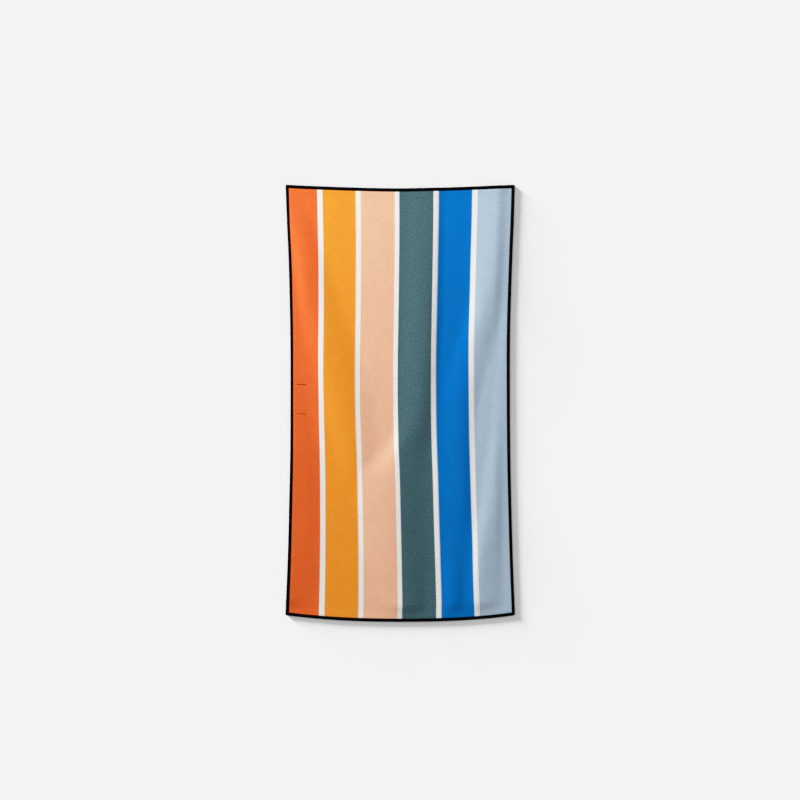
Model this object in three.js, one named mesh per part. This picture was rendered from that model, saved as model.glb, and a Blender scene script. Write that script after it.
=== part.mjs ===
// An open hand towel of printed microfibre, laid on a flat surface, with an overlocked edge.
// Millimetres, +Z up. X runs across the towel and +Y points to its top edge. Places on the cloth
// are given as it was cut: "across" from the left long edge, "down" from the top edge.

import * as THREE from "three";

// Driving dimensions
const finishedWidth = 406;
const finishedLength = 762;
const clothThickness = 1.4;
const pressedThickness = 1.0; // under the edging
const edging = {
  wall: 0.5, // thread over each face of the cloth
  gap: 0.3, // clearance between thread and cloth
  reach: 4.6, // how far the lips come in over the cloth
  nose: 1.0, // how far the thread stands out past the cut edge
  shoulder: 0.8, // share of the nose at which its rounding starts
  cornerNose: 0.7, // the nose shrinks to this share at the four corners
};
const pressedMargin = 5.2; // strip of cloth held by the edging
const cells = { across: 40, down: 36 };

const cutWidth = finishedWidth - 2 * edging.nose;
const cutLength = finishedLength - 2 * edging.nose;

// Outline as laid: the long edges draw in, the top edge sags and the bottom edge bows.
const outlineColumns = ["down", "left", "right"];
const outlineRows = [
  [0, 201.5, 201.4],
  [60, 199.2, 199.6],
  [130, 196.2, 196.8],
  [260, 193.3, 193.0],
  [380, 192.8, 192.7],
  [480, 193.1, 193.5],
  [560, 194.8, 195.1],
  [660, 197.3, 197.8],
  [760, 201.6, 201.6],
];
const topEdge = { y: 383.8, sag: 6.3, power: 1.5 };
const bottomEdge = { y: -383.6, rise: 11.5, power: 2.3 };

// In-plane give of the cloth towards its long edges: the share it shortens by at the edge itself,
// fading inwards over giveReach.
const giveReach = 60;
const giveColumns = ["down", "left", "right"];
const giveRows = [
  [0, 0.09, 0],
  [120, 0.1, 0],
  [240, 0.16, 0.01],
  [330, 0.22, 0.03],
  [400, 0.2, 0.03],
  [480, 0.12, 0.03],
  [580, 0.06, 0.05],
  [760, 0, 0.1],
];

// Waves: each is a crest that runs down the cloth. A row gives where the crest lies across, how high
// it stands, and how far it takes to fall away on its left and right.
const waveColumns = ["down", "across", "rise", "left", "right"];
const waves = {
  leftDrape: [
    [0, 2, 3, 30, 40],
    [130, 30, 11, 36, 60],
    [200, 41, 12, 38, 80],
    [290, 70, 13, 54, 90],
    [390, 100, 10, 50, 90],
    [490, 120, 7, 52, 70],
    [590, 140, 0, 56, 50],
  ],
  lowLeftEdge: [
    [270, -6, 0, 40, 50],
    [400, -4, 9, 40, 68],
    [480, -4, 13, 40, 88],
    [580, -2, 12, 40, 100],
    [680, -2, 11, 40, 92],
    [760, -4, 6, 40, 80],
  ],
  middle: [
    [0, 262, 5, 84, 34],
    [120, 256, 8, 76, 40],
    [240, 252, 10, 64, 44],
    [340, 247, 11, 58, 46],
    [395, 240, 10, 60, 52],
    [430, 226, 10, 54, 64],
    [465, 204, 10, 48, 80],
    [510, 190, 11, 70, 92],
    [580, 186, 12, 86, 94],
    [650, 192, 11, 84, 86],
    [710, 210, 9, 80, 52],
    [760, 220, 8, 80, 42],
  ],
  rightDrape: [
    [0, 392, 7, 100, 60],
    [110, 380, 8, 84, 70],
    [200, 360, 9, 50, 64],
    [250, 347, 9, 46, 62],
    [300, 334, 8, 54, 56],
    [350, 324, 8, 60, 50],
    [400, 318, 7, 60, 42],
    [480, 314, 6, 60, 34],
    [560, 312, 6, 56, 32],
    [660, 308, 0, 50, 34],
  ],
  rightEdge: [
    [250, 404, 0, 40, 40],
    [330, 404, 5, 44, 40],
    [430, 398, 7, 48, 40],
    [500, 381, 7, 44, 52],
    [560, 368, 8, 38, 60],
    [630, 352, 10, 34, 60],
    [700, 342, 9, 34, 64],
    [760, 338, 8, 34, 64],
  ],
  lowBlue: [
    [600, 290, 0, 30, 40],
    [690, 291, 7, 26, 40],
    [760, 292, 8, 26, 40],
  ],
};
const settle = 1.5; // the waves sink this much, so the cloth lies flat between them
const softening = 2.5; // how gently a wave leaves the flat
const waveFade = 26; // the waves fade out this near to the right and the bottom edge
const edgeRun = 15; // width over which the cloth rises to the middle of the edging

const ease = (t) => {
  const s = Math.min(Math.max(t, 0), 1);
  return s * s * (3 - 2 * s);
};

// Value of one column of a table at a place down the cloth, on a smooth curve through the rows.
function along(rows, columns, name, down) {
  const column = columns.indexOf(name);
  const last = rows.length - 1;
  const d = Math.min(Math.max(down, rows[0][0]), rows[last][0]);
  let i = 0;
  while (i < last - 1 && d > rows[i + 1][0]) i += 1;
  const slope = (k) => {
    const from = rows[Math.max(k - 1, 0)];
    const to = rows[Math.min(k + 1, last)];
    return (to[column] - from[column]) / (to[0] - from[0]);
  };
  const step = rows[i + 1][0] - rows[i][0];
  const t = (d - rows[i][0]) / step;
  const start = rows[i][column] * (1 + 2 * t) + slope(i) * step * t;
  const end = rows[i + 1][column] * (3 - 2 * t) - slope(i + 1) * step * (1 - t);
  return start * (1 - t) ** 2 + end * t ** 2;
}

// Height of the wave surface above the flat.
function waveHeight(across, down) {
  let sum = 0;
  for (const rows of Object.values(waves)) {
    const at = (name) => along(rows, waveColumns, name, down);
    const offset = across - at("across");
    const t = Math.abs(offset) / (offset < 0 ? at("left") : at("right"));
    if (t < 1) sum += Math.max(at("rise"), 0) * 0.5 * (1 + Math.cos(Math.PI * t));
  }
  const above = sum - settle;
  return above > 0 ? above ** 2 / (above + softening) : 0;
}

// Height of the cloth's middle surface above the floor.
function middleHeight(across, down) {
  const inside = Math.min(across, cutWidth - across, down, cutLength - down);
  const rest = clothThickness / 2;
  const atEdge = pressedThickness / 2 + edging.gap + edging.wall;
  const lift = (atEdge - rest) * (1 - ease((inside - pressedMargin) / edgeRun));
  const fromRight = ease((cutWidth - pressedMargin - across) / waveFade);
  const fromBottom = ease((cutLength - pressedMargin - down) / waveFade);
  return rest + lift + waveHeight(across, down) * fromRight * fromBottom;
}

// How far the cloth reaches across the floor from its left edge, at each of many places across:
// steep stretches cover less floor.
const runSteps = 200;
function runTable(down) {
  const give = (name) => along(giveRows, giveColumns, name, down);
  const step = cutWidth / runSteps;
  const table = [0];
  let before = middleHeight(0, down);
  for (let i = 1; i <= runSteps; i += 1) {
    const here = middleHeight(i * step, down);
    const mid = (i - 0.5) * step;
    const left = give("left") * Math.exp(-mid / giveReach);
    const right = give("right") * Math.exp(-(cutWidth - mid) / giveReach);
    const slope = (here - before) / step;
    table.push(table[i - 1] + step * Math.sqrt(1 - slope ** 2) * (1 - left - right));
    before = here;
  }
  return table;
}

// Point of the cloth's middle surface, as laid.
const runTables = new Map();
function middlePoint(across, down) {
  if (!runTables.has(down)) runTables.set(down, runTable(down));
  const table = runTables.get(down);
  const place = (across / cutWidth) * runSteps;
  const i = Math.min(Math.floor(place), runSteps - 1);
  const run = table[i] + (table[i + 1] - table[i]) * (place - i);
  const left = edging.nose - along(outlineRows, outlineColumns, "left", down);
  const right = along(outlineRows, outlineColumns, "right", down) - edging.nose;
  const fromMiddle = Math.abs((2 * across) / cutWidth - 1);
  const top = topEdge.y - edging.nose - topEdge.sag * (1 - fromMiddle ** topEdge.power);
  const bottom = bottomEdge.y + edging.nose + bottomEdge.rise * fromMiddle ** bottomEdge.power;
  return new THREE.Vector3(
    left + (right - left) * (run / table[runSteps]),
    top + (bottom - top) * (down / cutLength),
    middleHeight(across, down),
  );
}

// Grid lines of a side: the pressed margin, then even cells.
function gridLines(length, count) {
  const inner = length - 2 * pressedMargin;
  const even = Array.from({ length: count + 1 }, (_, i) => pressedMargin + (inner * i) / count);
  return [0, ...even, length];
}
const acrossLines = gridLines(cutWidth, cells.across);
const downLines = gridLines(cutLength, cells.down);
const lastAcross = acrossLines.length - 1;
const lastDown = downLines.length - 1;
const middle = downLines.map((down) => acrossLines.map((across) => middlePoint(across, down)));

// Upward normal of the middle surface at a grid point.
function normalAt(i, j) {
  const alongX = new THREE.Vector3().subVectors(
    middle[j][Math.min(i + 1, lastAcross)],
    middle[j][Math.max(i - 1, 0)],
  );
  const alongY = new THREE.Vector3().subVectors(
    middle[Math.max(j - 1, 0)][i],
    middle[Math.min(j + 1, lastDown)][i],
  );
  return alongX.cross(alongY).normalize();
}

function meshFrom(name, points, faces, material) {
  const geometry = new THREE.BufferGeometry().setFromPoints(points);
  geometry.setIndex(faces.flat());
  geometry.computeVertexNormals();
  const mesh = new THREE.Mesh(geometry, material);
  mesh.name = name;
  return mesh;
}

// Grid points of the cloth's border, counter-clockwise seen from above.
function borderWalk() {
  const walk = [];
  for (let j = 0; j < lastDown; j += 1) walk.push([0, j]);
  for (let i = 0; i < lastAcross; i += 1) walk.push([i, lastDown]);
  for (let j = lastDown; j > 0; j -= 1) walk.push([lastAcross, j]);
  for (let i = lastAcross; i > 0; i -= 1) walk.push([i, 0]);
  return walk;
}

// The grid point where the pressed margin ends, straight in from a border point.
function marginPoint(i, j) {
  return [
    Math.min(Math.max(i, 1), lastAcross - 1),
    Math.min(Math.max(j, 1), lastDown - 1),
  ];
}

// Which way a cell is split in two. Along the border the split matches that of the edging, so the
// clearance between them stays even where the cloth twists.
function splitsFromTopLeft(i, j) {
  const onSide = i === 0 || i === lastAcross - 1;
  const onEnd = j === 0 || j === lastDown - 1;
  return onSide && onEnd ? (i === 0) === (j === 0) : onEnd;
}

function towelCloth() {
  const points = [];
  const columns = lastAcross + 1;
  const layer = columns * (lastDown + 1);
  for (const side of [1, -1]) {
    for (let j = 0; j <= lastDown; j += 1) {
      for (let i = 0; i <= lastAcross; i += 1) {
        const pressed = i < 2 || j < 2 || i > lastAcross - 2 || j > lastDown - 2;
        const half = (pressed ? pressedThickness : clothThickness) / 2;
        const normal = normalAt(...marginPoint(i, j));
        points.push(middle[j][i].clone().addScaledVector(normal, side * half));
      }
    }
  }
  const faces = [];
  for (let j = 0; j < lastDown; j += 1) {
    for (let i = 0; i < lastAcross; i += 1) {
      const a = j * columns + i;
      const b = a + 1;
      const c = a + columns;
      const d = c + 1;
      const split = splitsFromTopLeft(i, j);
      const top = split ? [[a, c, d], [a, d, b]] : [[a, c, b], [b, c, d]];
      const under = top.map((face) => face.map((point) => layer + point).reverse());
      faces.push(...top, ...under);
    }
  }
  const walk = borderWalk().map(([i, j]) => j * columns + i);
  walk.forEach((a, k) => {
    const b = walk[(k + 1) % walk.length];
    faces.push([a, layer + a, b], [b, layer + a, layer + b]);
  });
  const material = new THREE.MeshStandardMaterial({ color: 0xe0a678, roughness: 0.95 });
  return meshFrom("towel_cloth", points, faces, material);
}

// Section of the edging, a C wrapped over the cut edge: distance out past the edge, and height over
// the cloth's middle surface.
function edgingSection() {
  const inner = pressedThickness / 2 + edging.gap;
  const outer = inner + edging.wall;
  return [
    [-edging.reach, -outer],
    [0, -outer],
    [edging.nose * edging.shoulder, -inner],
    [edging.nose, 0],
    [edging.nose * edging.shoulder, inner],
    [0, outer],
    [-edging.reach, outer],
    [-edging.reach, inner],
    [edging.gap, inner],
    [edging.gap, -inner],
    [-edging.reach, -inner],
  ];
}

function edgeOverlock() {
  const section = edgingSection();
  const walk = borderWalk();
  const points = [];
  for (const [i, j] of walk) {
    const [inI, inJ] = marginPoint(i, j);
    const edge = middle[j][i];
    const outward = edge.clone().sub(middle[inJ][inI]).divideScalar(pressedMargin);
    const isCorner = inI !== i && inJ !== j;
    const normal = normalAt(inI, inJ);
    for (const [out, up] of section) {
      const reach = isCorner && out > edging.gap ? out * edging.cornerNose : out;
      points.push(edge.clone().addScaledVector(outward, reach).addScaledVector(normal, up));
    }
  }
  const faces = [];
  const n = section.length;
  walk.forEach((_, k) => {
    const here = k * n;
    const next = ((k + 1) % walk.length) * n;
    for (let p = 0; p < n; p += 1) {
      const q = (p + 1) % n;
      const goesOut = section[q][0] > section[p][0];
      if (goesOut) {
        faces.push([here + p, next + p, next + q], [here + p, next + q, here + q]);
      } else {
        faces.push([here + p, next + p, here + q], [here + q, next + p, next + q]);
      }
    }
  });
  const material = new THREE.MeshStandardMaterial({ color: 0x0b0b0d, roughness: 0.85 });
  return meshFrom("edge_overlock", points, faces, material);
}

const towel = new THREE.Group();
towel.add(towelCloth(), edgeOverlock());

export default towel;
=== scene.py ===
# An open hand towel of printed microfibre with a black overlocked edge, lying on a pale surface.
# Metres. X runs across the towel, +Y points to its top edge, and the surface is at z = 0. Places on
# the cloth are given as it was cut: "across" from its left long edge, "down" from its top edge.
import math

import bpy
import numpy as np
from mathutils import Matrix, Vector, noise


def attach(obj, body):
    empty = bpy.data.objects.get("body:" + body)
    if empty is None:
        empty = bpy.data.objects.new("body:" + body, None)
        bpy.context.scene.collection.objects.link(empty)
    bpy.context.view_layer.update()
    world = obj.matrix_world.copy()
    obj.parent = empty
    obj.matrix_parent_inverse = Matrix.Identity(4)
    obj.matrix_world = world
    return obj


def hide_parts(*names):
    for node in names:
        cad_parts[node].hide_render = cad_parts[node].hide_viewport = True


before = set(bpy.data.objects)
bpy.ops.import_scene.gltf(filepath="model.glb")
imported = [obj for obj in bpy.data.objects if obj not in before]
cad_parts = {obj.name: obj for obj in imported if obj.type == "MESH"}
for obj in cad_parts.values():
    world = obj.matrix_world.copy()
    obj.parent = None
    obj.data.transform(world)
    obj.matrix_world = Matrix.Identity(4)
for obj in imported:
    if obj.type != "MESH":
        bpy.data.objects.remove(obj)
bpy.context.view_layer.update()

mm = 0.001


# Camera: straight above, in the photograph's frame. It comes first, as the framing sets the rest.
view = {
    "pixelSize": 1.755 * mm,  # what one pixel of the photograph covers
    "framePixels": 800,
    "centre": (-0.0004, 0.0059),  # where the photograph's middle lies on the surface
    "lens": 110,
    "sensor": 36,
    "clip": (0.05, 50),  # nearest and furthest that shows, as shares of the camera's height
}


def makeCamera():
    data = bpy.data.cameras.new("overheadCamera")
    data.sensor_width = view["sensor"]
    data.lens = view["lens"]
    fieldWidth = view["pixelSize"] * view["framePixels"]
    height = fieldWidth * view["lens"] / view["sensor"]
    camera = bpy.data.objects.new("overheadCamera", data)
    camera.location = (*view["centre"], height)
    nearest, furthest = view["clip"]
    data.clip_start = height * nearest
    data.clip_end = height * furthest
    bpy.context.scene.collection.objects.link(camera)
    bpy.context.scene.camera = camera


makeCamera()


# The cloth as cut, and how it lies
cloth = {
    "cut": (0.404, 0.760),
    "thickness": 1.4 * mm,
    "pressed": 1.0 * mm,  # thickness under the edging
    "margin": 5.2 * mm,  # strip that the edging holds
    "pressLap": 0.4 * mm,  # how far under the edging it starts to thicken
    "pressRun": 2.2 * mm,  # and the way that it takes to its full thickness
    "edgeHeight": 1.3 * mm,  # middle of the pressed margin above the surface
    "edgeRun": 15 * mm,  # from there the cloth comes down to the surface over this way
    "settle": 1.5 * mm,  # the lowest part of the waves, which lies down flat
    "softening": 2.5 * mm,  # how gently the waves rise from there
    "fade": 26 * mm,  # the waves fade out this near to the right and the bottom edge
    "cornerRadius": 2.4 * mm,
    "giveReach": 60 * mm,  # how far in from the long edges the cloth shortens
    "cell": 2.8 * mm,  # size of the mesh's faces
    "edgeRows": (0, 1.4, 2.8, 4.2, 5.2, 6.4, 8.2),  # mm in from the cut edge, closer by the edging
    "gridStep": (1 * mm, 2 * mm),  # of the grid that the surface is worked out on, across and down
    "skirt": 4 * mm,  # how far it is worked out past the cut edge
}

# Outline as laid: half widths down the length, then the sag of the top edge and bow of the bottom.
# All are taken over the edging, which stands out past the cut edge by its nose.
outlineRows = [  # down, left, right
    (0.000, 0.2015, 0.2014),
    (0.060, 0.1992, 0.1996),
    (0.130, 0.1962, 0.1968),
    (0.260, 0.1933, 0.1930),
    (0.380, 0.1928, 0.1927),
    (0.480, 0.1931, 0.1935),
    (0.560, 0.1948, 0.1951),
    (0.660, 0.1973, 0.1978),
    (0.760, 0.2016, 0.2016),
]
endEdges = {
    "nose": 1.0 * mm,
    "top": 0.3838,  # of its corners
    "topSag": 6.3 * mm,  # of its middle
    "topPower": 1.5,
    "bottom": -0.3836,  # of its middle
    "bottomRise": 11.5 * mm,  # of its corners
    "bottomPower": 2.3,
}
giveRows = [  # down, share that the cloth shortens by at its left edge, and at its right
    (0.000, 0.09, 0.00),
    (0.120, 0.10, 0.00),
    (0.240, 0.16, 0.01),
    (0.330, 0.22, 0.03),
    (0.400, 0.20, 0.03),
    (0.480, 0.12, 0.03),
    (0.580, 0.06, 0.05),
    (0.760, 0.00, 0.10),
]
waves = {  # down, across, rise, fall to the left, fall to the right
    "leftDrape": [
        (0.000, 0.002, 0.003, 0.030, 0.040),
        (0.130, 0.030, 0.011, 0.036, 0.060),
        (0.200, 0.041, 0.012, 0.038, 0.080),
        (0.290, 0.070, 0.013, 0.054, 0.090),
        (0.390, 0.100, 0.010, 0.050, 0.090),
        (0.490, 0.120, 0.007, 0.052, 0.070),
        (0.590, 0.140, 0.000, 0.056, 0.050),
    ],
    "lowLeftEdge": [
        (0.270, -0.006, 0.000, 0.040, 0.050),
        (0.400, -0.004, 0.009, 0.040, 0.068),
        (0.480, -0.004, 0.013, 0.040, 0.088),
        (0.580, -0.002, 0.012, 0.040, 0.100),
        (0.680, -0.002, 0.011, 0.040, 0.092),
        (0.760, -0.004, 0.006, 0.040, 0.080),
    ],
    "middle": [
        (0.000, 0.262, 0.005, 0.084, 0.034),
        (0.120, 0.256, 0.008, 0.076, 0.040),
        (0.240, 0.252, 0.010, 0.064, 0.044),
        (0.340, 0.247, 0.011, 0.058, 0.046),
        (0.395, 0.240, 0.010, 0.060, 0.052),
        (0.430, 0.226, 0.010, 0.054, 0.064),
        (0.465, 0.204, 0.010, 0.048, 0.080),
        (0.510, 0.190, 0.011, 0.070, 0.092),
        (0.580, 0.186, 0.012, 0.086, 0.094),
        (0.650, 0.192, 0.011, 0.084, 0.086),
        (0.710, 0.210, 0.009, 0.080, 0.052),
        (0.760, 0.220, 0.008, 0.080, 0.042),
    ],
    "rightDrape": [
        (0.000, 0.392, 0.007, 0.100, 0.060),
        (0.110, 0.380, 0.008, 0.084, 0.070),
        (0.200, 0.360, 0.009, 0.050, 0.064),
        (0.250, 0.347, 0.009, 0.046, 0.062),
        (0.300, 0.334, 0.008, 0.054, 0.056),
        (0.350, 0.324, 0.008, 0.060, 0.050),
        (0.400, 0.318, 0.007, 0.060, 0.042),
        (0.480, 0.314, 0.006, 0.060, 0.034),
        (0.560, 0.312, 0.006, 0.056, 0.032),
        (0.660, 0.308, 0.000, 0.050, 0.034),
    ],
    "rightEdge": [
        (0.250, 0.404, 0.000, 0.040, 0.040),
        (0.330, 0.404, 0.005, 0.044, 0.040),
        (0.430, 0.398, 0.007, 0.048, 0.040),
        (0.500, 0.381, 0.007, 0.044, 0.052),
        (0.560, 0.368, 0.008, 0.038, 0.060),
        (0.630, 0.352, 0.010, 0.034, 0.060),
        (0.700, 0.342, 0.009, 0.034, 0.064),
        (0.760, 0.338, 0.008, 0.034, 0.064),
    ],
    "lowBlue": [
        (0.600, 0.290, 0.000, 0.030, 0.040),
        (0.690, 0.291, 0.007, 0.026, 0.040),
        (0.760, 0.292, 0.008, 0.026, 0.040),
    ],
}

# Small unevenness that a hand feels: low ripples in the cloth and puckers along the sewn edge.
ripples = {
    "height": 0.45 * mm,
    "across": 30 * mm,
    "down": 85 * mm,
    "lift": 0.25,  # added to the noise: more of it means less flat cloth between the ripples
    "seed": 4.7,
}
puckers = {
    "height": 0.3 * mm,
    "length": 13 * mm,  # from one to the next along the edge
    "reach": 11 * mm,
    "slant": 3,  # along the edge for each step in from it
    "wander": 1.9,  # how far they stray from an even spacing, in radians
    "wanderLength": 31 * mm,
}

# Two bar tacks sewn through the cloth near its left long edge
barTacks = {
    "ends": [((0.0146, 0.3514), (0.0316, 0.3504)), ((0.0146, 0.4022), (0.0312, 0.4030))],
    "width": 1.3 * mm,
    "pitch": 0.42 * mm,
    "thread": 0.32 * mm,
    "rise": 0.38 * mm,  # how far each stitch bulges from the cloth
    "sunk": 0.15 * mm,  # how deep its ends sink in
    "slant": 0.4,  # share of the pitch that each half of a stitch leans over
    "unevenness": 0.15,
    "seed": 5,  # of the first tack
    "lowest": 1.1 * mm,  # middle of the bar, so that the stitches under it clear the surface
    "dent": 0.6 * mm,
    "dentReach": 1.7 * mm,
    # The thread's dark reddish brown is partly its own colour and partly painted shade of the
    # groove that the sunk stitches lie in.
    "colour": (0.12, 0.025, 0.006),
    "roughness": 0.8,
}


def ease(t):
    s = np.clip(t, 0, 1)
    return s * s * (3 - 2 * s)


def alongRows(rows, column, down):  # one column of a table, on a smooth curve through its rows
    table = np.array(rows)
    keys, values = table[:, 0], table[:, column]
    slopes = np.empty_like(values)
    slopes[1:-1] = (values[2:] - values[:-2]) / (keys[2:] - keys[:-2])
    slopes[0] = (values[1] - values[0]) / (keys[1] - keys[0])
    slopes[-1] = (values[-1] - values[-2]) / (keys[-1] - keys[-2])
    d = np.clip(down, keys[0], keys[-1])
    i = np.clip(np.searchsorted(keys, d) - 1, 0, len(keys) - 2)
    step = keys[i + 1] - keys[i]
    t = (d - keys[i]) / step
    start = values[i] * (1 + 2 * t) + slopes[i] * step * t
    end = values[i + 1] * (3 - 2 * t) - slopes[i + 1] * step * (1 - t)
    return start * (1 - t) ** 2 + end * t**2


def waveHeight(across, down):
    total = np.zeros_like(across)
    for rows in waves.values():
        offset = across - alongRows(rows, 1, down)
        fall = np.where(offset < 0, alongRows(rows, 3, down), alongRows(rows, 4, down))
        t = np.clip(np.abs(offset) / fall, 0, 1)
        total += np.maximum(alongRows(rows, 2, down), 0) * 0.5 * (1 + np.cos(np.pi * t))
    above = np.maximum(total - cloth["settle"], 0)
    return above**2 / (above + cloth["softening"])


def distanceInside(across, down):
    width, length = cloth["cut"]
    sides = np.minimum(across, width - across)
    return np.minimum(sides, np.minimum(down, length - down))


def smallUnevenness(across, down):
    places = zip(across.ravel() / ripples["across"], down.ravel() / ripples["down"])
    rippled = np.array([noise.noise((a, d, ripples["seed"])) for a, d in places])
    ripple = np.maximum(rippled.reshape(across.shape) + ripples["lift"], 0) * ripples["height"]
    # Puckers run in from the edge they stand on, so their phase follows that edge.
    width, length = cloth["cut"]
    nearSide = np.minimum(across, width - across) < np.minimum(down, length - down)
    slant = puckers["slant"]
    run = np.where(nearSide, down + slant * across, across + slant * down)
    wander = puckers["wander"] * np.sin(run / puckers["wanderLength"])
    phase = 2 * np.pi * run / puckers["length"] + wander
    fade = np.exp(-np.maximum(distanceInside(across, down), 0) / puckers["reach"])
    return ripple * (1 - fade) + puckers["height"] * fade * 0.5 * (1 + np.sin(phase))


def tackDents(across, down):  # the tacks pull the cloth down along their length
    dent = np.zeros_like(across)
    for (a0, d0), (a1, d1) in barTacks["ends"]:
        t = np.clip((across - a0) / (a1 - a0), 0, 1)
        away = np.hypot(across - (a0 + t * (a1 - a0)), down - (d0 + t * (d1 - d0)))
        dent += barTacks["dent"] * np.exp(-((away / barTacks["dentReach"]) ** 2))
    return dent


def middleHeight(across, down):
    rest = cloth["thickness"] / 2
    inward = (distanceInside(across, down) - cloth["margin"]) / cloth["edgeRun"]
    lift = (cloth["edgeHeight"] - rest) * (1 - ease(inward))
    width, length = cloth["cut"]
    fromRight = (width - cloth["margin"] - across) / cloth["fade"]
    fromBottom = (length - cloth["margin"] - down) / cloth["fade"]
    return rest + lift + waveHeight(across, down) * ease(fromRight) * ease(fromBottom)


class LaidSurface:  # the cloth's middle surface as it lies, worked out once on a fine grid
    def __init__(self):
        width, length = cloth["cut"]
        skirt = cloth["skirt"]
        self.step = cloth["gridStep"]
        self.low = -skirt
        acrossLine = np.arange(-skirt, width + skirt + self.step[0] / 2, self.step[0])
        downLine = np.arange(-skirt, length + skirt + self.step[1] / 2, self.step[1])
        across, down = np.meshgrid(acrossLine, downLine)
        height = middleHeight(across, down)
        slope = np.diff(height, axis=1) / self.step[0]
        mid = (across[:, 1:] + across[:, :-1]) / 2
        reach = cloth["giveReach"]
        left = alongRows(giveRows, 1, down[:, 1:]) * np.exp(-np.maximum(mid, 0) / reach)
        right = alongRows(giveRows, 2, down[:, 1:]) * np.exp(-np.maximum(width - mid, 0) / reach)
        covered = self.step[0] * np.sqrt(1 - slope**2) * (1 - left - right)
        run = np.concatenate([np.zeros((len(downLine), 1)), np.cumsum(covered, axis=1)], axis=1)
        atLeft = np.array([np.interp(0, acrossLine, row) for row in run])[:, None]
        atRight = np.array([np.interp(width, acrossLine, row) for row in run])[:, None]
        nose = endEdges["nose"]
        leftEdge = nose - alongRows(outlineRows, 1, downLine)[:, None]
        rightEdge = alongRows(outlineRows, 2, downLine)[:, None] - nose
        x = leftEdge + (rightEdge - leftEdge) * (run - atLeft) / (atRight - atLeft)
        fromMiddle = np.abs(2 * across / width - 1)
        top = endEdges["top"] - nose
        top = top - endEdges["topSag"] * (1 - fromMiddle ** endEdges["topPower"])
        bottom = endEdges["bottom"] + nose
        bottom = bottom + endEdges["bottomRise"] * fromMiddle ** endEdges["bottomPower"]
        y = top + (bottom - top) * down / length
        uneven = np.maximum(smallUnevenness(across, down) - tackDents(across, down), 0)
        self.grid = np.stack([x, y, height + uneven], axis=-1)
        alongX = np.gradient(self.grid, axis=1)
        alongY = -np.gradient(self.grid, axis=0)
        normal = np.cross(alongX, alongY)
        self.normals = normal / np.linalg.norm(normal, axis=-1, keepdims=True)

    def read(self, table, across, down):
        i = (np.asarray(across) - self.low) / self.step[0]
        j = (np.asarray(down) - self.low) / self.step[1]
        i0 = np.clip(np.floor(i).astype(int), 0, table.shape[1] - 2)
        j0 = np.clip(np.floor(j).astype(int), 0, table.shape[0] - 2)
        s, t = (i - i0)[..., None], (j - j0)[..., None]
        upper = table[j0, i0] * (1 - s) + table[j0, i0 + 1] * s
        lower = table[j0 + 1, i0] * (1 - s) + table[j0 + 1, i0 + 1] * s
        return upper * (1 - t) + lower * t

    def point(self, across, down):
        return self.read(self.grid, across, down)

    def normal(self, across, down):
        n = self.read(self.normals, across, down)
        return n / np.linalg.norm(n, axis=-1, keepdims=True)


laid = LaidSurface()
print("laid surface worked out")


def newObject(name, points, faces, material=None):
    mesh = bpy.data.meshes.new(name)
    mesh.from_pydata([tuple(p) for p in points], [], faces)
    mesh.update()
    if material is not None:
        mesh.materials.append(material)
    piece = bpy.data.objects.new(name, mesh)
    bpy.context.scene.collection.objects.link(piece)
    return piece


def shadeSmooth(piece):
    piece.data.polygons.foreach_set("use_smooth", [True] * len(piece.data.polygons))


# Shader helpers
def addNode(tree, kind, place, **settings):
    node = tree.nodes.new(kind)
    node.location = place
    for key, value in settings.items():
        setattr(node, key, value)
    return node


def setInputs(node, **values):
    for name, value in values.items():
        node.inputs[name.replace("_", " ")].default_value = value


def newMaterial(name):
    material = bpy.data.materials.new(name)
    material.use_nodes = True
    tree = material.node_tree
    shader = tree.nodes["Principled BSDF"]
    return material, tree, shader


# Short brushed pile: a fine grain that leans a little from straight down the cloth, in soft clumps
pile = {
    "grains": 500.0,  # to the metre
    "contrast": 0.70,
    "roots": 0.085,  # how far the pale roots show through
    "height": 0.5 * mm,
    "lean": 9,  # degrees
    "stretch": 0.7,  # under 1, the grain is longer down the cloth than across
    "clumps": 60.0,  # to the metre
    "clumpShare": 0.18,
    "mean": 0.59,  # of the grain and its share of the clumps together
    "rootRange": (0.38, 0.72),  # of the grain: no roots show below it, and all of them above
}


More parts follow.
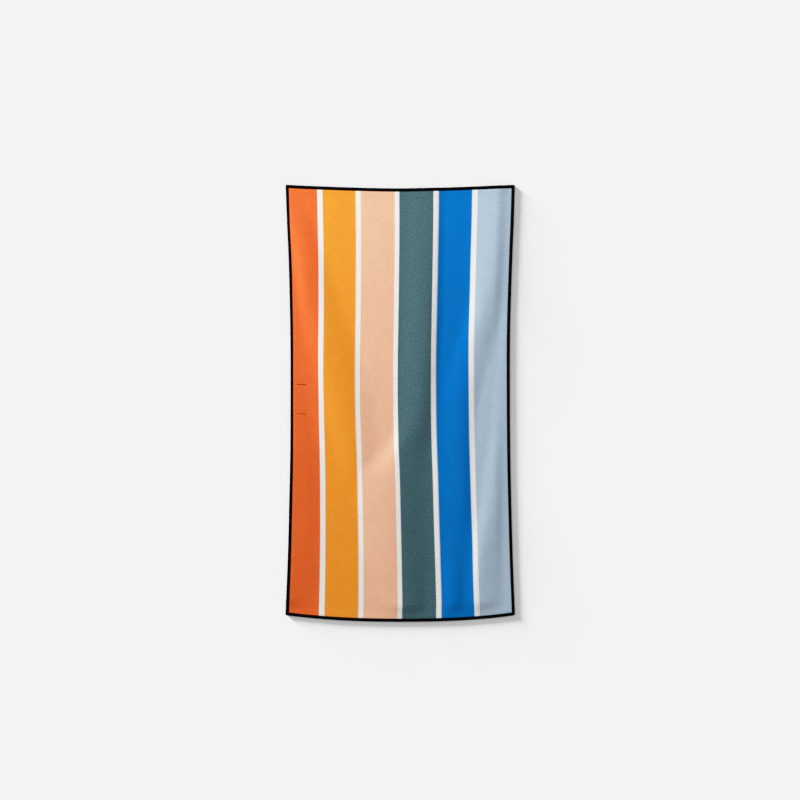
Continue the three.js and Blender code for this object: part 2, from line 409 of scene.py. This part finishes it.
# The group gives a shade to multiply the print by, how far the roots show through, and a height in
# metres to bump.
def makePileGroup():
    tree = bpy.data.node_groups.new("brushedPile", "ShaderNodeTree")
    sockets = [
        ("Cut Place", "NodeSocketVector", None),  # metres on the cut cloth
        ("Grains Per Metre", "NodeSocketFloat", pile["grains"]),
        ("Contrast", "NodeSocketFloat", pile["contrast"]),
        ("Root Share", "NodeSocketFloat", pile["roots"]),
        ("Pile Height", "NodeSocketFloat", pile["height"]),
    ]
    for name, kind, value in sockets:
        socket = tree.interface.new_socket(name=name, in_out="INPUT", socket_type=kind)
        if value is not None:
            socket.default_value = value
    for name in ("Shade", "Roots", "Height"):
        tree.interface.new_socket(name=name, in_out="OUTPUT", socket_type="NodeSocketFloat")
    given = addNode(tree, "NodeGroupInput", (-1100, 0))
    out = addNode(tree, "NodeGroupOutput", (900, 0))
    link = tree.links.new

    lean = addNode(tree, "ShaderNodeMapping", (-900, 100))
    lean.inputs["Rotation"].default_value = (0, 0, math.radians(pile["lean"]))
    lean.inputs["Scale"].default_value = (1, pile["stretch"], 1)
    link(given.outputs["Cut Place"], lean.inputs["Vector"])
    grain = addNode(tree, "ShaderNodeTexNoise", (-640, 260))
    setInputs(grain, Detail=3.0, Roughness=0.62, Distortion=0.3)
    link(lean.outputs[0], grain.inputs["Vector"])
    link(given.outputs["Grains Per Metre"], grain.inputs["Scale"])
    clump = addNode(tree, "ShaderNodeTexNoise", (-640, -40))
    setInputs(clump, Scale=pile["clumps"], Detail=2.0, Roughness=0.5)
    link(lean.outputs[0], clump.inputs["Vector"])

    blend = addNode(tree, "ShaderNodeMath", (-400, 200), operation="MULTIPLY_ADD")
    blend.inputs[1].default_value = pile["clumpShare"]
    link(clump.outputs["Fac"], blend.inputs[0])
    link(grain.outputs["Fac"], blend.inputs[2])
    centred = addNode(tree, "ShaderNodeMath", (-200, 200), operation="SUBTRACT")
    centred.inputs[1].default_value = pile["mean"]
    link(blend.outputs[0], centred.inputs[0])
    shade = addNode(tree, "ShaderNodeMath", (60, 300), operation="MULTIPLY_ADD")
    shade.inputs[2].default_value = 1.0
    link(centred.outputs[0], shade.inputs[0])
    link(given.outputs["Contrast"], shade.inputs[1])
    link(shade.outputs[0], out.inputs["Shade"])

    speck = addNode(tree, "ShaderNodeMapRange", (60, 60))
    setInputs(speck, From_Min=pile["rootRange"][0], From_Max=pile["rootRange"][1])
    link(grain.outputs["Fac"], speck.inputs["Value"])
    roots = addNode(tree, "ShaderNodeMath", (300, 60), operation="MULTIPLY")
    link(speck.outputs[0], roots.inputs[0])
    link(given.outputs["Root Share"], roots.inputs[1])
    link(roots.outputs[0], out.inputs["Roots"])
    height = addNode(tree, "ShaderNodeMath", (300, -160), operation="MULTIPLY")
    link(blend.outputs[0], height.inputs[0])
    link(given.outputs["Pile Height"], height.inputs[1])
    link(height.outputs[0], out.inputs["Height"])
    return tree


# The print: six long stripes parted by pale lines
printed = {
    "firstLine": 62.3 * mm,  # cut edge to the middle of the first line
    "pitch": 68.3 * mm,
    "lineWidth": 8.6 * mm,
    "bleed": 0.5 * mm,  # how soft the print's borders are
    "wobble": 0.5 * mm,  # how far they wander from straight
    "wobbles": 400.0,  # to the metre
    "stripes": [  # colour, and how far the pale roots of the pile show through
        ((0.79, 0.117, 0.023), 0.30),  # orange
        ((0.84, 0.252, 0.022), 0.20),  # amber
        ((0.80, 0.412, 0.262), 0.20),  # peach
        ((0.0425, 0.100, 0.114), 1.00),  # grey teal
        ((0.001, 0.139, 0.469), 0.04),  # blue
        ((0.356, 0.454, 0.560), 0.25),  # pale grey blue
    ],
    "line": (0.80, 0.785, 0.75),
    "lineRoots": 0.1,
    "back": (0.80, 0.79, 0.77),
    "roots": (0.50, 0.62, 0.68),
    "strikeThrough": 0.10,  # how far the print shows on the back
}
pileGroup = makePileGroup()


def fillStripes(ramp):
    width = cloth["cut"][0]
    half = printed["bleed"] / 2
    line = (*printed["line"], printed["lineRoots"])
    stops = []
    stripes = [(*colour, roots) for colour, roots in printed["stripes"]]
    for k in range(len(stripes) - 1):
        middle = printed["firstLine"] + k * printed["pitch"]
        start = middle - printed["lineWidth"] / 2
        end = middle + printed["lineWidth"] / 2
        stops.append((start - half, stripes[k]))
        stops.append((start + half, line))
        stops.append((end - half, line))
        stops.append((end + half, stripes[k + 1]))
    elements = ramp.elements
    while len(elements) < len(stops):
        elements.new(0.5)
    for element, (place, colour) in zip(elements, stops):
        element.position = place / width
        element.color = colour


def makePrintMaterial(name, isBack):
    material, tree, shader = newMaterial(name)
    link = tree.links.new
    cut = addNode(tree, "ShaderNodeUVMap", (-1500, 0), uv_map="cutPlace")
    metres = addNode(tree, "ShaderNodeMapping", (-1300, 0))
    metres.inputs["Scale"].default_value = (*cloth["cut"], 1)
    link(cut.outputs[0], metres.inputs["Vector"])
    pileNode = addNode(tree, "ShaderNodeGroup", (-900, -260), node_tree=pileGroup)
    link(metres.outputs[0], pileNode.inputs["Cut Place"])

    wobble = addNode(tree, "ShaderNodeTexNoise", (-1100, 420))
    setInputs(wobble, Scale=printed["wobbles"], Detail=1.0)
    link(metres.outputs[0], wobble.inputs["Vector"])
    parts = addNode(tree, "ShaderNodeSeparateXYZ", (-1300, 300))
    link(cut.outputs[0], parts.inputs[0])
    shift = addNode(tree, "ShaderNodeMath", (-900, 360), operation="MULTIPLY_ADD")
    shift.inputs[1].default_value = printed["wobble"] / cloth["cut"][0]
    link(wobble.outputs["Fac"], shift.inputs[0])
    link(parts.outputs["X"], shift.inputs[2])
    stripes = addNode(tree, "ShaderNodeValToRGB", (-700, 360))
    fillStripes(stripes.color_ramp)
    link(shift.outputs[0], stripes.inputs["Fac"])
    colour = stripes.outputs["Color"]
    # A colour Mix node has its colours at inputs 6 and 7, and gives the mixed one at output 2.
    if isBack:
        faded = addNode(tree, "ShaderNodeMix", (-400, 420), data_type="RGBA")
        faded.inputs["Factor"].default_value = printed["strikeThrough"]
        faded.inputs[6].default_value = (*printed["back"], 1)
        link(colour, faded.inputs[7])
        colour = faded.outputs[2]
    showing = addNode(tree, "ShaderNodeMath", (-560, 60), operation="MULTIPLY")
    link(pileNode.outputs["Roots"], showing.inputs[0])
    link(stripes.outputs["Alpha"], showing.inputs[1])
    rooted = addNode(tree, "ShaderNodeMix", (-200, 260), data_type="RGBA")
    link(showing.outputs[0], rooted.inputs["Factor"])
    link(colour, rooted.inputs[6])
    rooted.inputs[7].default_value = (*printed["roots"], 1)
    shaded = addNode(tree, "ShaderNodeVectorMath", (0, 200), operation="SCALE")
    link(rooted.outputs[2], shaded.inputs[0])
    link(pileNode.outputs["Shade"], shaded.inputs["Scale"])
    link(shaded.outputs[0], shader.inputs["Base Color"])
    bump = addNode(tree, "ShaderNodeBump", (-160, -260))
    setInputs(bump, Strength=1.0, Distance=1.0)
    link(pileNode.outputs["Height"], bump.inputs["Height"])
    link(bump.outputs[0], shader.inputs["Normal"])
    setInputs(shader, Roughness=0.9, Sheen_Weight=0.04, Sheen_Roughness=0.4)
    setInputs(shader, Specular_IOR_Level=0.08)
    return material


def gridLines(length):
    near = np.array(cloth["edgeRows"]) * mm
    inner = length - 2 * near[-1]
    count = round(inner / cloth["cell"])
    even = near[-1] + inner * np.arange(1, count) / count
    return np.concatenate([near, even, length - near[::-1]])


def roundedCorners(across, down):
    width, length = cloth["cut"]
    radius = cloth["cornerRadius"]
    a = np.minimum(across, width - across)
    d = np.minimum(down, length - down)
    intoCorner = np.maximum(radius - a, 0), np.maximum(radius - d, 0)
    away = np.hypot(*intoCorner)
    pull = np.where(away > radius, radius / np.maximum(away, 1e-9), 1)
    a = np.where(intoCorner[0] > 0, radius - intoCorner[0] * pull, a)
    d = np.where(intoCorner[1] > 0, radius - intoCorner[1] * pull, d)
    return (
        np.where(across < width / 2, a, width - a),
        np.where(down < length / 2, d, length - d),
    )


def sheetFaces(rows, columns):  # top, underside and rim of a sheet of two like layers of points
    layer = rows * columns
    index = np.arange(layer).reshape(rows, columns)
    a, b = index[:-1, :-1].ravel(), index[:-1, 1:].ravel()
    c, d = index[1:, :-1].ravel(), index[1:, 1:].ravel()
    top = np.stack([a, c, d, b], axis=1)
    under = np.stack([a, b, d, c], axis=1) + layer
    walk = [index[:-1, 0], index[-1, :-1], index[:0:-1, -1], index[0, :0:-1]]
    ring = np.concatenate(walk)
    following = np.roll(ring, -1)
    rim = np.stack([ring, ring + layer, following + layer, following], axis=1)
    return top, under, rim


def layCutPlaces(piece, across, down):  # the UV map: the place on the cut cloth, as shares of it
    width, length = cloth["cut"]
    place = np.stack([across / width, 1 - down / length], axis=-1).reshape(-1, 2)
    place = np.concatenate([place, place])
    corners = np.empty(len(piece.data.loops), int)
    piece.data.loops.foreach_get("vertex_index", corners)
    uv = piece.data.uv_layers.new(name="cutPlace")
    uv.data.foreach_set("uv", place[corners].ravel())


def makeTowelCloth():
    width, length = cloth["cut"]
    lines = np.meshgrid(gridLines(width), gridLines(length))
    across, down = roundedCorners(*lines)
    middle = laid.point(across, down)
    normal = laid.normal(across, down)
    full, pressed = cloth["thickness"] / 2, cloth["pressed"] / 2
    fromPress = distanceInside(across, down) - cloth["margin"] + cloth["pressLap"]
    half = (pressed + (full - pressed) * ease(fromPress / cloth["pressRun"]))[..., None]
    top = (middle + normal * half).reshape(-1, 3)
    under = (middle - normal * half).reshape(-1, 3)
    under[:, 2] = np.maximum(under[:, 2], 0)
    topFaces, underFaces, rim = sheetFaces(*across.shape)
    faces = np.concatenate([topFaces, underFaces, rim]).tolist()
    face = makePrintMaterial("printedPile", False)
    back = makePrintMaterial("plainBack", True)
    piece = newObject("towelCloth", np.concatenate([top, under]), faces, face)
    piece.data.materials.append(back)
    slots = [0] * len(topFaces) + [1] * (len(underFaces) + len(rim))
    piece.data.polygons.foreach_set("material_index", slots)
    layCutPlaces(piece, across, down)
    shadeSmooth(piece)
    return piece


towelCloth = makeTowelCloth()
print("cloth made:", len(towelCloth.data.polygons), "faces")


# Overlocked edge: a close band of thread, with looper threads over it and a needle line inside
overlock = {
    "inner": 5.2 * mm,  # needle line to the cut edge
    "nose": 1.0 * mm,  # how far the threads stand out past it
    "cornerRadius": 2.4 * mm,
    "step": 3.0 * mm,  # between the stations of the band
    "fan": 9,  # stations round each corner
    "lip": 4.7 * mm,  # how far the band comes in from the cut edge
    "bandHalf": 0.95 * mm,  # half its thickness
    "bandNose": 0.6 * mm,
    "bandRound": 0.8,  # depth of its rounded outer edge, as a share of half its thickness
    "bandSteps": 8,  # round that edge
    "lipShare": 0.82,  # the band thins to this at its lips
    "channelHalf": 0.62 * mm,  # the channel that the cloth lies in
    "channelEnd": 0.15 * mm,
    "pitch": 2.2 * mm,
    "unevenness": 0.12,
    "seed": 11,
    "thread": 0.34 * mm,
    "looperTop": 1.3 * mm,  # height of the looper threads over the cloth's middle
    "looperRoot": 0.78 * mm,  # and their height where they meet the needle line
    "legSpread": 0.28,  # shares of the pitch
    "legLean": 0.12,
    "needlePlace": 0.35 * mm,  # outward from the inner points
    "needleThread": 0.48 * mm,
    "needleLength": 0.98,  # share of the pitch
    "needleSunk": 0.62 * mm,
    "needleRise": 0.35 * mm,
    "colour": (0.004, 0.004, 0.005),
    "roughness": 0.75,
}
overlockWidth = overlock["inner"] + overlock["nose"]


def cornerReach(angle):  # from the inner corner to the rounded outer one, as a share of a side's
    centre = overlockWidth - overlock["cornerRadius"]
    x, y = abs(math.cos(angle)), abs(math.sin(angle))
    if max(x, y) * centre >= min(x, y) * overlockWidth:
        return 1 / max(x, y)
    middle = centre * (x + y)
    inside = middle**2 - 2 * centre**2 + overlock["cornerRadius"] ** 2
    return (middle + math.sqrt(inside)) / overlockWidth


def edgeStations():  # inner point and outward reach on the cut cloth, once round, anticlockwise
    width, length = cloth["cut"]
    near = overlock["inner"]
    right, bottom = width - near, length - near
    corners = [(near, near), (near, bottom), (right, bottom), (right, near)]
    outward = [(-1, 0), (0, 1), (1, 0), (0, -1)]  # of the side that leaves each corner
    stations = []
    for k, (start, out) in enumerate(zip(corners, outward)):
        end = corners[(k + 1) % 4]
        count = round(math.dist(start, end) / overlock["step"])
        for i in range(count):
            t = i / count
            here = [start[0] + (end[0] - start[0]) * t, start[1] + (end[1] - start[1]) * t]
            stations.append((*here, *out))
        following = outward[(k + 1) % 4]
        for i in range(overlock["fan"]):
            angle = math.pi / 2 * i / overlock["fan"]
            x = out[0] * math.cos(angle) + following[0] * math.sin(angle)
            y = out[1] * math.cos(angle) + following[1] * math.sin(angle)
            reach = cornerReach(angle)
            stations.append((*end, x * reach, y * reach))
    return np.array(stations)


def edgeFrames():  # the same in space: inner points, outer points and normals
    stations = edgeStations()
    outerPlace = stations[:, :2] + stations[:, 2:] * overlockWidth
    inner = laid.point(stations[:, 0], stations[:, 1])
    outer = laid.point(outerPlace[:, 0], outerPlace[:, 1])
    normal = laid.normal(stations[:, 0], stations[:, 1])
    return inner, outer, normal


def sweepBand(inner, outer, normal, section, name, material):
    points = []
    for a, b, n in zip(inner, outer, normal):
        for out, up in section:
            points.append(a + (b - a) * (out + overlock["inner"]) / overlockWidth + n * up)
    count, size = len(inner), len(section)
    faces = []
    for k in range(count):
        here, after = k * size, (k + 1) % count * size
        for p in range(size):
            q = (p + 1) % size
            faces.append((here + p, after + p, after + q, here + q))
    piece = newObject(name, points, faces, material)
    shadeSmooth(piece)
    return piece


def bandSection():  # outward from the cut edge, height
    half, channel = overlock["bandHalf"], overlock["channelHalf"]
    lip, nose, end = -overlock["lip"], overlock["bandNose"], overlock["channelEnd"]
    depth = half * overlock["bandRound"]
    thin = half * overlock["lipShare"]
    arc = []
    for i in range(overlock["bandSteps"] + 1):
        angle = -math.pi / 2 + math.pi * i / overlock["bandSteps"]
        arc.append((nose - depth + depth * math.cos(angle), half * math.sin(angle)))
    slot = [(lip, channel), (end, channel), (end, -channel), (lip, -channel)]
    return [(lip, -thin), *arc, (lip, thin), *slot]


threadSurface = {"grains": 1500.0, "tones": (0.7, 1.35), "bump": 0.1 * mm}


def makeThreadMaterial(name, settings):
    material, tree, shader = newMaterial(name)
    link = tree.links.new
    place = addNode(tree, "ShaderNodeTexCoord", (-1100, 0))
    grain = addNode(tree, "ShaderNodeTexNoise", (-800, 100))
    setInputs(grain, Scale=threadSurface["grains"], Detail=2.0)
    link(place.outputs["Object"], grain.inputs["Vector"])
    tone = addNode(tree, "ShaderNodeMapRange", (-560, 100))
    setInputs(tone, To_Min=threadSurface["tones"][0], To_Max=threadSurface["tones"][1])
    link(grain.outputs["Fac"], tone.inputs["Value"])
    tinted = addNode(tree, "ShaderNodeVectorMath", (-320, 100), operation="SCALE")
    tinted.inputs[0].default_value = settings["colour"]
    link(tone.outputs[0], tinted.inputs["Scale"])
    link(tinted.outputs[0], shader.inputs["Base Color"])
    bump = addNode(tree, "ShaderNodeBump", (-320, -200))
    setInputs(bump, Strength=0.6, Distance=threadSurface["bump"])
    link(grain.outputs["Fac"], bump.inputs["Height"])
    link(bump.outputs[0], shader.inputs["Normal"])
    setInputs(shader, Roughness=settings["roughness"], Specular_IOR_Level=0.05)
    return material


# Stitches along a rail: a stitch shape at an even pitch, its X axis along "outward" and its Z axis
# along "up", as stretched as "reach" says.
def makeStitchTree():
    tree = bpy.data.node_groups.new("stitchesAlongRail", "GeometryNodeTree")
    tree.is_modifier = True
    sockets = [
        ("Geometry", "INPUT", "Geometry"),
        ("Stitch", "INPUT", "Object"),
        ("Pitch", "INPUT", "Float"),
        ("Unevenness", "INPUT", "Float"),
        ("Seed", "INPUT", "Int"),
        ("Thread", "INPUT", "Material"),
        ("Geometry", "OUTPUT", "Geometry"),
    ]
    for name, way, kind in sockets:
        tree.interface.new_socket(name=name, in_out=way, socket_type="NodeSocket" + kind)
    link = tree.links.new
    given = addNode(tree, "NodeGroupInput", (-900, 0))
    out = addNode(tree, "NodeGroupOutput", (900, 0))
    rail = addNode(tree, "GeometryNodeMeshToCurve", (-700, 200))
    link(given.outputs["Geometry"], rail.inputs["Mesh"])
    even = addNode(tree, "GeometryNodeResampleCurve", (-500, 200), mode="LENGTH")
    link(rail.outputs["Curve"], even.inputs["Curve"])
    link(given.outputs["Pitch"], even.inputs["Length"])
    railValues = {"outward": "FLOAT_VECTOR", "up": "FLOAT_VECTOR", "reach": "FLOAT"}
    read = {}
    for k, (name, kind) in enumerate(railValues.items()):
        place = (-700, -40 - 160 * k)
        value = addNode(tree, "GeometryNodeInputNamedAttribute", place, data_type=kind)
        value.inputs["Name"].default_value = name
        read[name] = value.outputs["Attribute"]
    turn = addNode(tree, "FunctionNodeAxesToRotation", (-400, -60))
    turn.primary_axis, turn.secondary_axis = "X", "Z"
    link(read["outward"], turn.inputs[0])
    link(read["up"], turn.inputs[1])
    vary = addNode(tree, "FunctionNodeRandomValue", (-300, -520), data_type="FLOAT")
    limits = [s for s in vary.inputs if s.type == "VALUE"]
    for k, way in enumerate(("SUBTRACT", "ADD")):  # one less and one more the unevenness
        limit = addNode(tree, "ShaderNodeMath", (-500, -500 - 160 * k), operation=way)
        limit.inputs[0].default_value = 1.0
        link(given.outputs["Unevenness"], limit.inputs[1])
        link(limit.outputs[0], limits[k])
    link(given.outputs["Seed"], vary.inputs["Seed"])
    varied = [s for s in vary.outputs if s.type == "VALUE"][0]
    size = addNode(tree, "ShaderNodeCombineXYZ", (-60, -400))
    link(read["reach"], size.inputs["X"])
    link(varied, size.inputs["Y"])
    size.inputs["Z"].default_value = 1.0
    shape = addNode(tree, "GeometryNodeObjectInfo", (-300, 60))
    link(given.outputs["Stitch"], shape.inputs["Object"])
    sew = addNode(tree, "GeometryNodeInstanceOnPoints", (150, 100))
    link(even.outputs["Curve"], sew.inputs["Points"])
    link(shape.outputs["Geometry"], sew.inputs["Instance"])
    link(turn.outputs["Rotation"], sew.inputs["Rotation"])
    link(size.outputs[0], sew.inputs["Scale"])
    real = addNode(tree, "GeometryNodeRealizeInstances", (400, 100))
    link(sew.outputs["Instances"], real.inputs["Geometry"])
    dye = addNode(tree, "GeometryNodeSetMaterial", (620, 100))
    link(real.outputs["Geometry"], dye.inputs["Geometry"])
    link(given.outputs["Thread"], dye.inputs["Material"])
    link(dye.outputs["Geometry"], out.inputs["Geometry"])
    return tree


stitchTree = makeStitchTree()


def tube(path, radius, sides):  # points and faces of a closed thread along a short path
    path = np.array(path, float)
    ahead = np.gradient(path, axis=0)
    ahead /= np.linalg.norm(ahead, axis=1, keepdims=True)
    across = np.cross(ahead, (0.0, 1.0, 0.02))  # no path here runs along Y
    across /= np.linalg.norm(across, axis=1, keepdims=True)
    beside = np.cross(ahead, across)
    points, faces = [], []
    for p, u, v in zip(path, across, beside):
        for k in range(sides):
            angle = 2 * math.pi * (k + 0.5) / sides
            points.append(p + radius * (u * math.cos(angle) + v * math.sin(angle)))
    for i in range(len(path) - 1):
        for k in range(sides):
            after = (k + 1) % sides
            row, up = i * sides, (i + 1) * sides
            faces.append((row + k, row + after, up + after, up + k))
    last = (len(path) - 1) * sides
    faces.append(tuple(range(sides))[::-1])
    faces.append(tuple(last + k for k in range(sides)))
    return points, faces


def joinTubes(name, tubes):
    points, faces = [], []
    for made, madeFaces in tubes:
        start = len(points)
        points.extend(made)
        faces.extend(tuple(start + i for i in face) for face in madeFaces)
    piece = newObject(name, points, faces)
    piece.data.validate()
    return piece


def makeRail(name, points, outward, up, reach, closed):
    mesh = bpy.data.meshes.new(name)
    count = len(points)
    edges = [(i, i + 1) for i in range(count - 1)]
    if closed:
        edges.append((count - 1, 0))
    mesh.from_pydata([tuple(p) for p in points], edges, [])
    for label, values in (("outward", outward), ("up", up)):
        attribute = mesh.attributes.new(label, "FLOAT_VECTOR", "POINT")
        attribute.data.foreach_set("vector", np.asarray(values, np.float32).ravel())
    attribute = mesh.attributes.new("reach", "FLOAT", "POINT")
    attribute.data.foreach_set("value", np.asarray(reach, np.float32))
    rail = bpy.data.objects.new(name, mesh)
    bpy.context.scene.collection.objects.link(rail)
    return rail


def sewAlong(name, rail, stitch, settings, material):
    modifier = rail.modifiers.new("stitches", "NODES")
    modifier.node_group = stitchTree
    values = {
        "Stitch": stitch,
        "Pitch": settings["pitch"],
        "Unevenness": settings["unevenness"],
        "Seed": settings["seed"],
        "Thread": material,
    }
    for item in stitchTree.interface.items_tree:
        if item.in_out == "INPUT" and item.name in values:
            modifier[item.identifier] = values[item.name]
    graph = bpy.context.evaluated_depsgraph_get()
    mesh = bpy.data.meshes.new_from_object(rail.evaluated_get(graph), depsgraph=graph)
    rail.modifiers.remove(modifier)
    bpy.data.objects.remove(rail)
    bpy.data.objects.remove(stitch)
    mesh.name = name
    piece = bpy.data.objects.new(name, mesh)
    bpy.context.scene.collection.objects.link(piece)
    shadeSmooth(piece)
    print(name, "sewn:", len(mesh.polygons), "faces")
    return piece


blackThread = makeThreadMaterial("blackOverlockThread", overlock)
# The tack thread's colour holds painted shade of the stitches' groove as well as the thread's own
# reddish brown.
tackThreadShaded = makeThreadMaterial("tackThreadPaintedShade", barTacks)


def looperStitch():  # two legs of a V over the top, round the edge and back under
    radius = overlock["thread"] / 2
    high = overlock["looperTop"] - radius
    above = [  # outward from the outer edge, height
        (-overlockWidth + 0.4 * mm, overlock["looperRoot"]),
        (-overlockWidth * 0.72, high * 0.93),
        (-overlockWidth * 0.40, high),
        (-0.9 * mm, high * 0.96),
        (-0.25 * mm, high * 0.62),
    ]
    below = [(out, -up) for out, up in above[::-1]]
    pitch = overlock["pitch"]
    tubes = []
    for side in (-1, 1):
        path = []
        for out, up in [*above, (-radius, 0.0), *below]:
            # The legs meet at the needle line.
            spread = overlock["legSpread"] * pitch * (1 + out / overlockWidth)
            lean = overlock["legLean"] * pitch * math.copysign(1, up) if up else 0
            path.append((out, side * spread + lean, up))
        tubes.append(tube(path, radius, 4))
    return joinTubes("looperStitch", tubes)


def needleStitch():  # one sunk stitch on each face
    length = overlock["pitch"] * overlock["needleLength"]
    tubes = []
    for side in (-1, 1):
        path = []
        for t in np.linspace(0, 1, 6):
            rise = overlock["needleSunk"] + math.sin(math.pi * t) * overlock["needleRise"]
            path.append((0.0, (t - 0.5) * length, side * rise))
        tubes.append(crossTube(path, overlock["needleThread"] / 2, 5))
    return joinTubes("needleStitch", tubes)


def crossTube(path, radius, sides):  # as tube, for a path that runs along Y
    turned = [(p[1], p[0], p[2]) for p in path]
    points, faces = tube(turned, radius, sides)
    return [np.array((p[1], p[0], p[2])) for p in points], [f[::-1] for f in faces]


def makeOverlock():
    inner, outer, normal = edgeFrames()
    band = sweepBand(inner, outer, normal, bandSection(), "overlockBand", blackThread)
    outward = outer - inner
    length = np.linalg.norm(outward, axis=1)
    unit = outward / length[:, None]
    rail = makeRail("looperRail", outer, unit, normal, length / overlockWidth, True)
    loopers = sewAlong("looperThreads", rail, looperStitch(), overlock, blackThread)
    line = inner + unit * overlock["needlePlace"]
    rail = makeRail("needleRail", line, unit, normal, np.ones(len(inner)), True)
    needle = sewAlong("needleThread", rail, needleStitch(), overlock, blackThread)
    return band, loopers, needle


band, loopers, needle = makeOverlock()


def tackStitch():  # one satin stitch over the bar, on each face
    half = barTacks["width"] / 2
    radius = barTacks["thread"] / 2
    tubes = []
    for side in (-1, 1):
        path = []
        for t in np.linspace(-1, 1, 7):
            rise = cloth["thickness"] / 2 + (1 - t**2) * barTacks["rise"] - barTacks["sunk"]
            path.append((t * half, t * barTacks["pitch"] * barTacks["slant"], side * rise))
        tubes.append(tube(path, radius, 4))
    return joinTubes("tackStitch", tubes)


def makeBarTacks():
    pieces = []
    for k, (start, end) in enumerate(barTacks["ends"]):
        t = np.linspace(0, 1, 12)
        across = start[0] + (end[0] - start[0]) * t
        down = start[1] + (end[1] - start[1]) * t
        points = laid.point(across, down)
        points[:, 2] = np.maximum(points[:, 2], barTacks["lowest"])
        up = laid.normal(across, down)
        along = np.gradient(points, axis=0)
        side = np.cross(up, along)
        side /= np.linalg.norm(side, axis=1, keepdims=True)
        rail = makeRail("tackRail", points, side, up, np.ones(len(points)), False)
        settings = {**barTacks, "seed": barTacks["seed"] + k}
        name = "barTack" + ("Upper", "Lower")[k]
        pieces.append(sewAlong(name, rail, tackStitch(), settings, tackThreadShaded))
    return pieces


tacks = makeBarTacks()


# What each piece is to the frame
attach(towelCloth, "root")
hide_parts("towel_cloth")
for piece in (band, loopers, needle):
    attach(piece, "root")
    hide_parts("edge_overlock")
for piece in tacks:
    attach(piece, "root")


# Surface and light
studio = {
    "surface": (0.88, 0.88, 0.88),
    "surfaceHalf": 30.0,
    "surfaceLow": 0.02 * mm,  # so that it never shares a plane with the cloth
    "sky": (1.0, 1.0, 1.0),
    "skyStrength": 0.57,
    "keyPlace": (-1.15, 1.35, 0.74),
    "keyAim": (0.0, 0.0, 0.0),
    "keySize": 0.5,
    "keyPower": 55,
    "floorSunTilt": 86.0,  # from straight down
    "floorSunFrom": (-1.0, 0.8),
    "floorSunSpread": 15.0,
    "floorSunStrength": 32.9,
}


def makeSurface():
    half, low = studio["surfaceHalf"], -studio["surfaceLow"]
    corners = [(-half, -half, low), (half, -half, low), (half, half, low), (-half, half, low)]
    material, _, shader = newMaterial("paleSurface")
    setInputs(shader, Base_Color=(*studio["surface"], 1), Roughness=0.9, Specular_IOR_Level=0.0)
    surface = newObject("surface", corners, [(0, 1, 2, 3)], material)
    return surface


def newLamp(name, kind, strength, place, aim, pieces):  # lights only these pieces
    data = bpy.data.lights.new(name, kind)
    data.energy = strength
    lamp = bpy.data.objects.new(name, data)
    bpy.context.scene.collection.objects.link(lamp)
    lamp.location = place
    lamp.rotation_euler = (Vector(aim) - Vector(place)).to_track_quat("-Z", "Y").to_euler()
    receivers = bpy.data.collections.new(name + "Receivers")
    for piece in pieces:
        receivers.objects.link(piece)
    lamp.light_linking.receiver_collection = receivers
    return data


def makeLights(surface, towelPieces):
    place, aim = studio["keyPlace"], studio["keyAim"]
    key = newLamp("keyLamp", "AREA", studio["keyPower"], place, aim, towelPieces)
    key.shape = "DISK"
    key.size = studio["keySize"]

    tilt = math.radians(studio["floorSunTilt"])
    x, y = studio["floorSunFrom"]
    away = math.hypot(x, y)
    place = (x / away * math.sin(tilt), y / away * math.sin(tilt), math.cos(tilt))
    sun = newLamp("surfaceSun", "SUN", studio["floorSunStrength"], place, (0, 0, 0), [surface])
    sun.angle = math.radians(studio["floorSunSpread"])

    world = bpy.data.worlds.new("paleStudio")
    world.use_nodes = True
    sky = world.node_tree.nodes["Background"]
    sky.inputs["Color"].default_value = (*studio["sky"], 1)
    sky.inputs["Strength"].default_value = studio["skyStrength"]
    bpy.context.scene.world = world


# How the camera renders light: soft in the highlights and a little deeper in the darkest tones
cameraTone = {
    "whiteLevel": 1.3,
    "points": [  # light, tone
        (0.000, 0.000),
        (0.014, 0.008),
        (0.040, 0.034),
        (0.100, 0.098),
        (0.300, 0.305),
        (0.500, 0.500),
        (0.700, 0.665),
        (0.900, 0.785),
        (1.100, 0.870),
        (1.300, 0.930),
    ],
}


def setCameraTone():
    settings = bpy.context.scene.view_settings
    settings.view_transform = "Standard"
    settings.use_curve_mapping = True
    mapping = settings.curve_mapping
    mapping.white_level = [cameraTone["whiteLevel"]] * 3
    curve = mapping.curves[3]  # all three channels
    places = [(light / cameraTone["whiteLevel"], tone) for light, tone in cameraTone["points"]]
    curve.points[0].location, curve.points[1].location = places[0], places[-1]
    for place in places[1:-1]:
        curve.points.new(*place)
    mapping.update()


makeLights(makeSurface(), [towelCloth, band, loopers, needle, *tacks])
setCameraTone()
print("surface and lights made")
